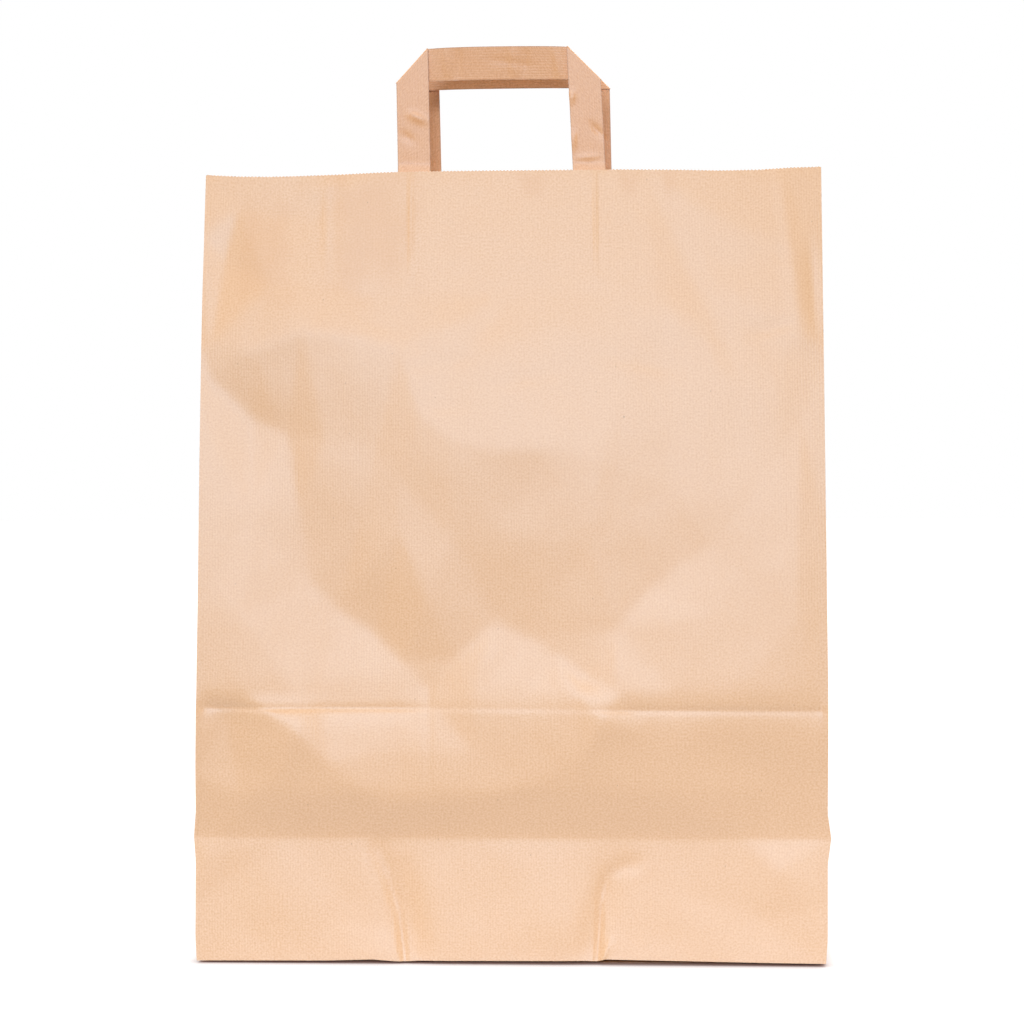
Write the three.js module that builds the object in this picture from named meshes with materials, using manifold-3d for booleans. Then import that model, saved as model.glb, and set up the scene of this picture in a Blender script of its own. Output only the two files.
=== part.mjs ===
// A block-bottom kraft paper carrier bag with two flat folded paper handles, standing half open.
// Millimetres, +Z up. The origin is on the floor under the middle of the base, and the front faces -Y.
// The back half is worked out as a second front and turned half way round +Z.
import * as THREE from "three";
import { mergeVertices } from "three/addons/utils/BufferGeometryUtils.js";
import Module from "manifold-3d";

const wasm = await Module();
wasm.setup();

// Bag
const bagWidth = 350; // front panel between its two side folds
const bagDepth = 140; // base from front to back, and each gusset laid flat
const rimHeight = 444; // front rim above the floor
const paper = 0.15; // one ply
const mouthDepth = 38; // between the front and the back side folds at the rim
const mouthBow = 4; // how far the middle of a panel bows out past those folds at the rim
const baseFoldDent = 5; // depth of the fold that crosses the front at half the bag's depth
const foldEar = 1.5; // how far the side folds poke out at the ends of that fold
const hollowDepth = 5; // soft valley that bent in across each panel as the bag was opened
const hollowReach = 62; // from the bottom of that valley to where the panel is straight again
const hollowFade = 40; // the valley fades out over this much towards the folds and the handles
const toothPitch = 2.5; // pinked cut along the rim
const toothDepth = 0.8;
const rimBand = 6; // plain strip that carries the teeth
const flapLap = 24; // glued lap of the two long base flaps
const flapMitre = 1; // the slanted ends of those flaps start this far from the corners
const foldRoll = 1.5; // the base folds stay full and round, so the flaps' steps start this far inside them
const seamWidth = 20; // glued lap that closes the tube, on the back panel
const seamInset = 30; // from the back panel's side fold to that lap
const seamRamp = 1; // sideways run where one ply eases over the edge of the other

// Handles and the patches that hold them
const strapWidth = 18.5;
const strapThickness = 0.7; // a paper strip folded into four or five plies
const handleWidth = 118; // across the outside of both legs
const handleRise = 70; // above the rim
const legReach = 64; // glued length of a leg below the rim
const bendRise = 4; // above the rim, where the legs bend upright
const frontHandleShift = -5.5; // sideways, along +X
const backHandleShift = -3.5;
const patchWidth = 150;
const patchTop = 8; // from the rim down to the patch
const patchBottom = 67; // from the rim down to the patch's lower edge
const patchRamp = 1.5; // sideways run where a patch steps over a leg
const glueLine = 0.1; // between sheets that are glued together
const foldPress = 0.05; // how far the folded layers of a strap sink into each other

// Where the bottom of each panel's valley runs, as [x, z] seen from outside that panel
const frontHollow = [
  [-172, 331],
  [-118, 302],
  [-104, 204],
  [-46, 162],
  [-6, 186],
  [44, 165],
  [100, 219],
  [162, 293],
];
const backHollow = [
  [-150, 262],
  [-48, 188],
  [36, 201],
  [148, 284],
];

// How finely the curved sheets are divided
const gussetSteps = 5;
const bodySteps = 13;
const frontSteps = { side: 5, middle: 8 };
const backSteps = { side: 3, middle: 4 };
const cutOver = 1; // a cut runs past the sheet by this much

const kraftColour = 0xeccaab;
const strapColour = 0xe2b289;
const patchColour = 0xe6bf9c;

// What the two halves of the bag share, and the flat zone of a panel under its handle
const halfDepth = bagDepth / 2;
const halfWidth = bagWidth / 2;
const flatMargin = 5;
const flatFrom = rimHeight - Math.max(legReach, patchBottom) - flatMargin;
const widestShift = Math.max(Math.abs(frontHandleShift), Math.abs(backHandleShift));
const flatHalf = Math.max(patchWidth, handleWidth) / 2 + widestShift + flatMargin;
const leanTotal = halfDepth - mouthDepth / 2;
const leanRate = leanTotal / (flatFrom * (2 * rimHeight - flatFrom));
const earReach = halfDepth / gussetSteps;
const floorPlies = 3;
const floorTop = floorPlies * paper;

// The base was folded up flat against the front, so only the front has the fold across it.
const front = { dent: baseFoldDent, ear: foldEar, hollow: frontHollow };
const back = { dent: 0, ear: 0, hollow: backHollow };

// The panels lean together in a curve, and stay flat where the handles stiffen them.
function lean(z) {
  const curved = leanRate * z * z;
  const straight = leanRate * flatFrom * (2 * z - flatFrom);
  return z < flatFrom ? curved : straight;
}

// Distance of a side fold from the middle plane of the bag at height z
function foldDepth(face, z) {
  const dent = face.dent * Math.max(0, 1 - Math.abs(z - halfDepth) / halfDepth);
  return halfDepth - lean(z) - dent;
}

function foldX(face, z) {
  return halfWidth + face.ear * Math.max(0, 1 - Math.abs(z - halfDepth) / earReach);
}

function hollowAt(face, x, z) {
  const here = new THREE.Vector3(x, 0, z);
  const bottom = face.hollow.map(([px, pz]) => new THREE.Vector3(px, 0, pz));
  const distances = bottom.slice(1).map((end, i) => {
    const nearest = new THREE.Line3(bottom[i], end).closestPointToPoint(here, true, new THREE.Vector3());
    return nearest.distanceTo(here);
  });
  const near = Math.max(0, 1 - Math.min(...distances) / hollowReach);
  const edges = [halfWidth - Math.abs(x), flatFrom - z, z - halfDepth];
  const fade = edges.map((room) => THREE.MathUtils.smoothstep(room, 0, hollowFade));
  return hollowDepth * near * near * Math.min(...fade);
}

// Distance of a panel from the middle plane of the bag
function panelDepth(face, x, z) {
  const past = Math.max(0, Math.abs(x) - flatHalf) / (halfWidth - flatHalf);
  const bow = ((mouthBow * z) / rimHeight) * (1 - past * past);
  return foldDepth(face, z) + bow - hollowAt(face, x, z);
}

// Where the flat zone under a handle lies at the rim, and how steeply it leans back
const flatRimY = -panelDepth(back, 0, rimHeight);
const flatSlope = (flatRimY + panelDepth(back, 0, flatFrom)) / (rimHeight - flatFrom);

// How far the middle of a gusset is folded in at height z
function gussetInset(z) {
  const opening = (foldDepth(front, z) + foldDepth(back, z)) / 2;
  return Math.sqrt(halfDepth * halfDepth - opening * opening);
}

// A gusset from one fold (share 0) to its middle (share 1), as seen on the front half.
// Its lower end is a flat triangle that stands on the base edge and leans in.
function gussetPoint(face, share, z) {
  const fold = new THREE.Vector3(foldX(face, z), -foldDepth(face, z), z);
  const apexInset = gussetInset(halfDepth);
  const apexHeight = Math.sqrt(halfDepth * halfDepth - apexInset * apexInset);
  const up = z / halfDepth;
  if (up < 1) {
    const inTriangle = (at) =>
      new THREE.Vector3(halfWidth - apexInset * up, -halfDepth * (1 - at), apexHeight * up);
    return share >= up ? inTriangle(share) : fold.lerp(inTriangle(up), share / up);
  }
  const middle = new THREE.Vector3(halfWidth - gussetInset(z), 0, z - halfDepth + apexHeight);
  return fold.lerp(middle, share);
}

function steps(from, to, count) {
  return Array.from({ length: count + 1 }, (_, i) => from + ((to - from) * i) / count);
}

// Where the columns of a panel stand, from its left fold to its right one.
// Those of the back's left side follow the edges of the glued lap.
function columnsFrom(leftSide, { side, middle }) {
  const inMiddle = steps(-flatHalf, flatHalf, middle);
  return [...leftSide, ...inMiddle, ...steps(flatHalf, halfWidth, side).slice(1)];
}

const seamStart = -halfWidth + seamInset;
const seamEnd = seamStart + seamWidth;
const seamColumns = [-halfWidth, seamStart - seamRamp, seamStart, seamEnd, seamEnd + seamRamp];
front.columns = columnsFrom(steps(-halfWidth, -flatHalf, frontSteps.side).slice(0, -1), frontSteps);
back.columns = columnsFrom(seamColumns, backSteps);

function seamPly(face, x) {
  return face === back && x >= seamStart && x <= seamEnd ? paper : 0;
}

// Half of the ring round the bag at height z: a panel, then the gusset at its right.
function halfRing(face, otherFace, z, withSeam) {
  const spread = foldX(face, z) / halfWidth;
  const panel = face.columns.map((x) => {
    const proud = withSeam ? seamPly(face, x) : 0;
    return new THREE.Vector3(x * spread, -panelDepth(face, x, z) - proud, z);
  });
  const shares = steps(0, 1, gussetSteps).slice(1);
  const inwards = shares.map((share) => gussetPoint(face, share, z));
  const outwards = shares.slice(0, -1).reverse();
  const mirrored = outwards.map((share) => {
    const { x, y, z: height } = gussetPoint(otherFace, share, z);
    return new THREE.Vector3(x, -y, height);
  });
  return [...panel, ...inwards, ...mirrored];
}

function turned(point) {
  return new THREE.Vector3(-point.x, -point.y, point.z);
}

function ringAt(z, withSeam) {
  return [...halfRing(front, back, z, withSeam), ...halfRing(back, front, z, withSeam).map(turned)];
}

// The ring moved inwards by one ply, with mitred folds.
function insideOf(ring) {
  return ring.map((p, i) => {
    const before = ring[(i + ring.length - 1) % ring.length];
    const after = ring[(i + 1) % ring.length];
    const normals = [
      [before, p],
      [p, after],
    ].map(([a, b]) => new THREE.Vector2(a.y - b.y, b.x - a.x).normalize());
    const mitre = normals[0].clone().add(normals[1]).divideScalar(1 + normals[0].dot(normals[1]));
    return new THREE.Vector3(p.x + mitre.x * paper, p.y + mitre.y * paper, p.z);
  });
}

// The rim between two plain rings, as runs of teeth from column to column.
function pinked(valleys, tips) {
  return valleys.map((start, i) => {
    const next = (i + 1) % valleys.length;
    const teeth = Math.round(start.distanceTo(valleys[next]) / toothPitch);
    const run = [start];
    for (let k = 1; k < 2 * teeth; k += 1) {
      const [a, b] = k % 2 ? [tips[i], tips[next]] : [start, valleys[next]];
      run.push(a.clone().lerp(b, k / (2 * teeth)));
    }
    return run;
  });
}

// A sheet of triangles between runs of points
class Sheet {
  constructor() {
    this.points = [];
  }

  // Fills the strip between two runs, each of two or more points. It faces out, or in if turned.
  strip(lower, upper, isTurned) {
    const [n, m] = [lower.length - 1, upper.length - 1];
    let [i, j] = [0, 0];
    while (i < n || j < m) {
      const lowerNext = j === m || (i < n && (i + 0.5) / n <= (j + 0.5) / m);
      const next = lowerNext ? lower[i + 1] : upper[j + 1];
      const triangle = [lower[i], next, upper[j]];
      this.points.push(...(isTurned ? triangle.reverse() : triangle));
      if (lowerNext) i += 1;
      else j += 1;
    }
  }

  // Joins two closed rings, each given as runs from column to column.
  band(lower, upper, isTurned) {
    lower.forEach((run, i) => {
      const next = (i + 1) % lower.length;
      this.strip([...run, lower[next][0]], [...upper[i], upper[next][0]], isTurned);
    });
  }

  // The rectangular base inside a ring, facing up, or down if asked.
  base(ring, facesDown) {
    const right = front.columns.length - 1;
    const far = right + 2 * gussetSteps;
    const left = far + back.columns.length - 1;
    const rows = [ring.slice(0, right + 1)];
    for (let i = 1; i < 2 * gussetSteps; i += 1) {
      rows.push([ring[(left + 2 * gussetSteps - i) % ring.length], ring[right + i]]);
    }
    rows.push(ring.slice(far, left + 1).reverse());
    rows.slice(1).forEach((row, i) => this.strip(rows[i], row, facesDown));
  }

  geometry() {
    return new THREE.BufferGeometry().setFromPoints(this.points);
  }
}

function solid(geometry) {
  const bare = new THREE.BufferGeometry();
  const loose = geometry.index ? geometry.toNonIndexed() : geometry;
  bare.setAttribute("position", loose.getAttribute("position"));
  const merged = mergeVertices(bare, 1e-4);
  const vertProperties = merged.getAttribute("position").array;
  const triVerts = new Uint32Array(merged.index.array);
  return new wasm.Manifold(new wasm.Mesh({ numProp: 3, vertProperties, triVerts }));
}

function geometryOf(made) {
  const { vertProperties, triVerts } = made.getMesh();
  const geometry = new THREE.BufferGeometry();
  geometry.setAttribute("position", new THREE.BufferAttribute(vertProperties, 3));
  geometry.setIndex(new THREE.BufferAttribute(triVerts, 1));
  geometry.computeVertexNormals();
  return geometry;
}

function prism(outline, depth) {
  const shape = new THREE.Shape(outline.map(([a, b]) => new THREE.Vector2(a, b)));
  return new THREE.ExtrudeGeometry(shape, { depth, bevelEnabled: false });
}

// The walls, gussets and floor of the bag as one skin of paper, from the underside round to the floor.
function paperSkin() {
  const heights = [
    ...steps(0, halfDepth + earReach, gussetSteps + 1),
    ...steps(halfDepth + earReach, flatFrom, bodySteps).slice(1),
    rimHeight - rimBand,
  ];
  const runsOf = (ring) => ring.map((point) => [point]);
  const outer = heights.map((z) => ringAt(z, true));
  const inner = heights.map((z) => insideOf(ringAt(z, false)));
  inner[0].forEach((point) => {
    point.z = floorTop;
  });
  const [tip, valley] = [rimHeight, rimHeight - toothDepth];
  const outerRim = pinked(ringAt(valley, true), ringAt(tip, true));
  const innerRim = pinked(insideOf(ringAt(valley, false)), insideOf(ringAt(tip, false)));
  const outside = [...outer.map(runsOf), outerRim];
  const inside = [...inner.map(runsOf), innerRim];
  const sheet = new Sheet();
  outside.slice(1).forEach((ring, i) => sheet.band(outside[i], ring, false));
  inside.slice(1).forEach((ring, i) => sheet.band(inside[i], ring, true));
  sheet.band(outerRim, innerRim, false);
  sheet.base(outer[0], true);
  sheet.base(inner[0], false);
  return solid(sheet.geometry());
}

// What is missing from a floor of three plies: the flaps leave steps under the bag and inside it.
function flapSteps() {
  const reach = halfDepth + flapLap / 2;
  const [sideX, frontY] = [halfWidth - foldRoll, halfDepth - foldRoll];
  const [mitreX, mitreY] = [sideX - flapMitre, frontY - flapMitre];
  const endTriangle = (side) => [
    [side * (sideX - mitreY), 0],
    [side * sideX, -mitreY],
    [side * sideX, mitreY],
  ];
  const besideBackFlap = [
    [-mitreX, -frontY],
    [mitreX, -frontY],
    [mitreX, -flapLap / 2],
    [-mitreX, -flapLap / 2],
  ];
  const betweenEars = (fromY, toY) => [
    [reach - halfWidth, fromY],
    [halfWidth - reach, fromY],
    [halfWidth - reach, toY],
    [reach - halfWidth, toY],
  ];
  const innerEdge = halfDepth - 2 * paper;
  const below = (outline, plies) =>
    prism(outline, cutOver + plies * paper).translate(0, 0, -cutOver);
  const above = (outline, plies) =>
    prism(outline, cutOver + floorTop).translate(0, 0, plies * paper);
  return [
    below(endTriangle(1), 2),
    below(endTriangle(-1), 2),
    below(besideBackFlap, 1),
    above(betweenEars(-innerEdge, innerEdge), 2),
    above(betweenEars(flapLap / 2, innerEdge), 1),
  ];
}

function bagBody() {
  return flapSteps().reduce((body, step) => body.subtract(solid(step)), paperSkin());
}

// Inner face of a panel at height z, in the flat zone under a handle
function wallFace(z) {
  return flatRimY + flatSlope * (z - rimHeight) + paper;
}

// A flat strap: two legs glued to the wall, folded at 45 degrees into a bar that lies behind them.
function handle(shift) {
  const [low, bend, top] = [rimHeight - legReach, rimHeight + bendRise, rimHeight + handleRise];
  const outside = (z) => wallFace(Math.min(z, bend)) + glueLine;
  const up = [low, bend, top].map((z) => [outside(z), z]);
  const down = [top, bend, low].map((z) => [outside(z) + strapThickness, z]);
  const alongX = new THREE.Matrix4().makeBasis(
    new THREE.Vector3(0, 1, 0),
    new THREE.Vector3(0, 0, 1),
    new THREE.Vector3(1, 0, 0),
  );
  const half = handleWidth / 2;
  const strap = prism([...up, ...down], strapWidth).applyMatrix4(alongX);
  const standing = (outline, depth, y) =>
    prism(outline, depth).rotateX(Math.PI / 2).translate(0, y + depth, 0);
  const corner = (side) => [
    [side * half, top - strapWidth],
    [side * (half - strapWidth), top],
    [side * half, top],
  ];
  const cutDepth = bagDepth;
  const leg = (side) => {
    const from = side < 0 ? -half : half - strapWidth;
    const offcut = standing(corner(side), cutDepth, -cutDepth);
    return solid(strap.clone().translate(from, 0, 0)).subtract(solid(offcut));
  };
  const bar = [
    [-half, top - strapWidth],
    [half, top - strapWidth],
    [half - strapWidth, top],
    [-half + strapWidth, top],
  ];
  const behind = outside(top) + strapThickness - foldPress;
  const folded = solid(standing(bar, strapThickness, behind));
  return leg(-1).add(leg(1)).add(folded).translate([shift, 0, 0]);
}

// A paper patch glued over both legs and on the wall between and beside them
function patch(shift) {
  const [low, high] = [rimHeight - patchBottom, rimHeight - patchTop];
  const seat = wallFace(low) + glueLine;
  const raised = seat + strapThickness + glueLine;
  const [inner, outer] = [handleWidth / 2 - strapWidth - glueLine, handleWidth / 2 + glueLine];
  const rightHalf = [
    [inner - patchRamp, seat],
    [inner, raised],
    [outer, raised],
    [outer + patchRamp, seat],
    [patchWidth / 2, seat],
  ];
  const leftHalf = rightHalf.map(([x, y]) => [-x, y]).reverse();
  const wallSide = [...leftHalf, ...rightHalf];
  const roomSide = wallSide.map(([x, y]) => [x, y + paper]).reverse();
  const leaning = new THREE.Matrix4().makeShear(0, 0, 0, 0, 0, flatSlope);
  const sheet = prism([...wallSide, ...roomSide], high - low).applyMatrix4(leaning);
  return sheet.translate(shift, 0, low);
}

const kraft = { roughness: 0.85, metalness: 0, flatShading: true };
const bag = new THREE.Group();

function add(name, geometry, color, isBack) {
  const mesh = new THREE.Mesh(geometry, new THREE.MeshStandardMaterial({ ...kraft, color }));
  mesh.name = name;
  mesh.rotation.z = isBack ? Math.PI : 0;
  bag.add(mesh);
}

add("bag_body", geometryOf(bagBody()), kraftColour, false);
add("handle_front", geometryOf(handle(frontHandleShift)), strapColour, false);
add("handle_back", geometryOf(handle(-backHandleShift)), strapColour, true);
add("patch_front", patch(frontHandleShift), patchColour, false);
add("patch_back", patch(-backHandleShift), patchColour, true);

export default bag;
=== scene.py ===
"""A kraft paper carrier bag with two flat folded handles, standing half open on a white studio floor.

Lengths are millimetres until a mesh is made. The front faces -Y. What lies on the back is worked
out as a second front and turned half way round +Z.
"""

import math

import bpy
import numpy as np
from mathutils import Matrix, Vector
from mathutils.bvhtree import BVHTree
from mathutils.geometry import delaunay_2d_cdt


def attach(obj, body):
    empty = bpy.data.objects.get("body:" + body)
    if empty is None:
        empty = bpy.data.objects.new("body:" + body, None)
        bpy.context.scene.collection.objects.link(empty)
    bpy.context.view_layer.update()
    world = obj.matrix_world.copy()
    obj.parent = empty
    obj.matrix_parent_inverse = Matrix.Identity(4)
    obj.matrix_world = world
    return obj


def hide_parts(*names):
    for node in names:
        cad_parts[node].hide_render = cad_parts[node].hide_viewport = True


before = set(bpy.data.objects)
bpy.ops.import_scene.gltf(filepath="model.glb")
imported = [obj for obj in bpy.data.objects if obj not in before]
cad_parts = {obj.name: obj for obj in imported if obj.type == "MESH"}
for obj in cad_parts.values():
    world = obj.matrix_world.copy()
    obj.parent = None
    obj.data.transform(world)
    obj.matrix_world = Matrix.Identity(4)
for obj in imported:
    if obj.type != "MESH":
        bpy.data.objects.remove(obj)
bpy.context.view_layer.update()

MM = 0.001

# Bag, with the sizes of the CAD model. MOUTH_DEPTH is the depth between the folds at the rim, MOUTH_BOW how
# far a panel bows out there, and EAR_REACH how far up and down an ear runs. The glued patch keeps a panel
# flat from FLAT_FROM up, to FLAT_HALF on both sides. FLAP_GAP is a share of the paper's thickness.
HALF_WIDTH = 175.0
HALF_DEPTH = 70.0
RIM = 444.0
PAPER = 0.15
MOUTH_DEPTH = 38.0
MOUTH_BOW = 4.0
EAR_REACH = 14.0
FLAT_FROM = 372.0
FLAT_HALF = 85.5
TOOTH_PITCH = 2.5
TOOTH_DEPTH = 0.55
FLAP_LAP = 24.0
FLAP_INSET = 8.0
FLAP_GAP = 0.05
LEAN_RATE = (HALF_DEPTH - MOUTH_DEPTH / 2) / (FLAT_FROM * (2 * RIM - FLAT_FROM))

# Glued lap of the tube, on the back panel
SEAM_START, SEAM_END, SEAM_RAMP, SEAM_RISE = -145.0, -125.0, 0.5, 0.35
SEAM_EDGES = [SEAM_START - SEAM_RAMP, SEAM_START, SEAM_END, SEAM_END + SEAM_RAMP]

# Handles. STRAP is the width of a strap, STRAP_PLIES its thickness and STRAP_GAP the gap inside its folds.
# HANDLE_HALF is half of a handle's width, HANDLE_RISE its height above the rim, LEG_REACH how far its legs
# reach below the rim, and BEND_RISE how far above it they turn upright. BAR_TILT is how far the bar leans
# for each millimetre of its height, and GLUE is how thick the glue under the legs is.
STRAP = 18.5
STRAP_PLIES = 0.62
STRAP_GAP = 0.08
HANDLE_HALF = 59.0
HANDLE_RISE = 70.0
LEG_REACH = 64.0
BEND_RISE = 4.0
BAR_TILT = 0.12
GLUE = 0.1

# The two handles: how far each sits off the middle, how far the tops of its left and right leg have moved
# sideways, how far its bar has dropped and arches, how far its left and right corner hang, how far the top
# leans into the bag, and the wrinkles of its legs and its bar as (x0, z0, x1, z1, half width, height)
FRONT_HANDLE = {
    "shift": -5.5, "legs": (-0.8, -3.4), "drop": 0.7, "arch": 0.8, "corners": (2.8, 1.8), "into": 0.0,
    "wrinkles": [
        (-42, 472, -52, 477, 1.8, 0.9), (-54, 449, -47, 446.6, 1.7, -0.9),
        (-47, 446.6, -41, 444.8, 1.6, -0.8), (43, 488, 41, 482, 1.6, 0.7),
        (42, 465, 41, 456, 1.6, 0.7), (41, 448.5, 54, 451, 1.6, 0.9),
        (52, 470, 58, 463, 1.8, -0.6), (-57, 466, -50, 461, 2.0, -0.5),
    ],
    "bar_wrinkles": [
        (-31, 514, -29, 496, 2.2, 0.4), (-22, 514, -24, 498, 1.8, -0.35), (8, 514, 10, 496, 2.6, 0.4),
        (17, 513, 15, 497, 2.0, -0.35), (33, 514, 35, 497, 1.8, 0.35), (-6, 507, 22, 503, 2.2, -0.25),
    ],
}
BACK_HANDLE = {
    "shift": 2.9, "legs": (1.2, 1.0), "drop": 1.5, "arch": 0.5, "corners": (1.0, 1.0), "into": 4.0,
    "wrinkles": [
        (-44, 470, -56, 466, 1.6, 0.4), (46, 480, 58, 484, 1.6, -0.4), (44, 452, 58, 449, 1.6, 0.4),
    ],
    "bar_wrinkles": [
        (-26, 514, -23, 497, 2.4, -0.35), (12, 514, 9, 497, 2.2, 0.4), (28, 513, 31, 498, 1.8, -0.3),
    ],
}

# How finely the sheets are divided. Columns are closer at the dents and rows at the folds, and even rows
# that are too near to such a one are left out. PAST_END keeps the last place of a run.
FRONT_STEP, DENT_STEP, BACK_STEP, ROW_STEP = 2.0, 0.8, 5.0, 3.2
DENT_RUNS = [(-66, -54), (44.4, 54)]
FOLD_ROWS = [0.6, 1.5, 3, 6, 67, 68.6, 70, 71.4, 73, 135, 137.5, 139, 140.2, 141.2, 142.2, 143.2, 144.4, 146]
TOP_ROW, ROWS_END = 438, 439
ROW_CLEAR, SEAM_CLEAR = 1.2, 1.0
PAST_END = 0.1
GUSSET_STEPS = 10
STRAP_COLUMNS, LEG_ROWS, BAR_ROWS, TURN_STEPS = 17, 96, 90, 8

# Grid of a panel's relief: its step, the distances it is smoothed over, and a height above all of it
RELIEF_STEP = 2.0
RELIEF_BLURS = (1.0, 2.4)
ABOVE_RELIEF = 50.0

# Edges that bend by more than this many degrees are shaded sharp.
SHARP_FOLD = 28.0

# Only the front has the fold that the turned-up base left, and small ears at the ends of it.
FRONT = {"dent": 6.5, "ears": (1.2, 2.0)}
BACK = {"dent": 0.0, "ears": (0.0, 0.0)}

# How far the fold above the base is pushed in, and how far above it that reaches
FOLD_PRESS, FOLD_REACH = 2.3, 27.0

# How far the front spreads past the base at its left and right fold, against height
SPREAD_Z = [0, 15, 60, 80, 110, 150, 200, 260, 372, 444]
FRONT["spread"] = (
    [0.7, 1.5, 1.7, 1.7, 1.5, 0.6, 0.1, 0.1, 0.5, 0.2],
    [-0.6, 0.4, 0.8, 0.8, 1.0, 1.1, 0.8, 0.5, 0.2, 0.1],
)
BACK["spread"] = [0.0] * len(SPREAD_Z), [0.0] * len(SPREAD_Z)

# How far the front rim sags or rises along its run
RIM_X = [-175, -155, -138, -121, -98, -76, -55, 60, 95, 118, 140, 160, 175]
RIM_Z = [-0.5, -1.7, -2.1, -1.9, -1.4, -0.5, 0, -0.1, -0.7, -1.3, -1.0, 0.2, 0.5]

# How far the front base edge stands off the floor
FRONT_LIFT_X = [-175, -102, -77, -62, -58, -50, 0, 42, 48, 52.5, 100, 139, 175]
FRONT_LIFT_Z = [0.8, 1.3, 2.1, 0.9, 0.9, 1.5, 1.8, 2.0, 1.7, 3.0, 2.3, 1.7, 1.3]

# Groove that the edge of the turned-up base left across the front: its height, how much that falls
# along x, and (depth, half width, power of the fall to its sides) of its soft and its sharp part
IMPRINT_HEIGHT, IMPRINT_FALL = 141.5, 0.004
IMPRINT_PARTS = [(1.2, 7.0, 1.3), (0.3, 1.6, 2.0)]

# Its strength in the middle, and where it comes back to full strength to the left and the right
IMPRINT_FAINT = 0.3
IMPRINT_LEFT, IMPRINT_RIGHT = (-40, -65), (38, 62)

# Slow waves of a sheet that was never quite flat: (height, run along x, run along z, start)
SHEET_WAVES = [(0.22, 19, 47, 0.6), (0.2, 31, -26, 2.1), (0.12, 11, 14, 4.0), (0.1, -40, 9, 1.0)]

# The folds, the base edge and the glued patch hold the panels still here.
STILL_SIDE_Z = (35, 105, 150, 200, 250, 300, 340, 408)
STILL_PATCH_X = (-82.0, 0, 82.0)
STILL_COLUMNS = 8

# Waves fade out over these distances to a side fold and to the base, and at the patch's lower edge from
# below it to above it. Marks on the front fade out over MARK_HOLD to a side fold.
SIDE_HOLD, BASE_HOLD, PATCH_HOLD_LOW, PATCH_HOLD_HIGH = 30.0, 25.0, 30.0, 10.0
MARK_HOLD = 4.0

# A mark keeps the strength that it has at this share of its run right up to its ends.
MARK_END = 0.04

# How far gussets wave sideways and to the front and back, how much shorter their waves are, and what sets
# the front half apart for each millimetre of its dent. Waves are full from GUSSET_WAVE_FULL up, and those
# to the front and back fade out over GUSSET_RIM_HOLD to the rim.
GUSSET_WAVE_OUT, GUSSET_WAVE_ALONG, GUSSET_WAVE_RATE, GUSSET_WAVE_APART = 0.5, 1.2, 1.3, 40.0
GUSSET_WAVE_FULL, GUSSET_RIM_HOLD = 150.0, 60.0

# How quickly the lift of the base edge fades upwards and the sag of the rim downwards, and between which
# depths both fade out to the back
LIFT_FADE, SAG_FADE = 10.0, 80.0
LIFT_BACK, SAG_BACK = (-52, -69), (0, -12)

# How far the bar of a handle hangs out, the run and the start of its wave, and how far from its ends it has
# come free. LEG_HOLD is where the legs start and have come free above their bend.
BAR_SLACK, BAR_WAVE, BAR_START, BAR_HOLD = 0.3, 34.0, 0.4, 30.0
LEG_HOLD = (0.5, 4.0)

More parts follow.
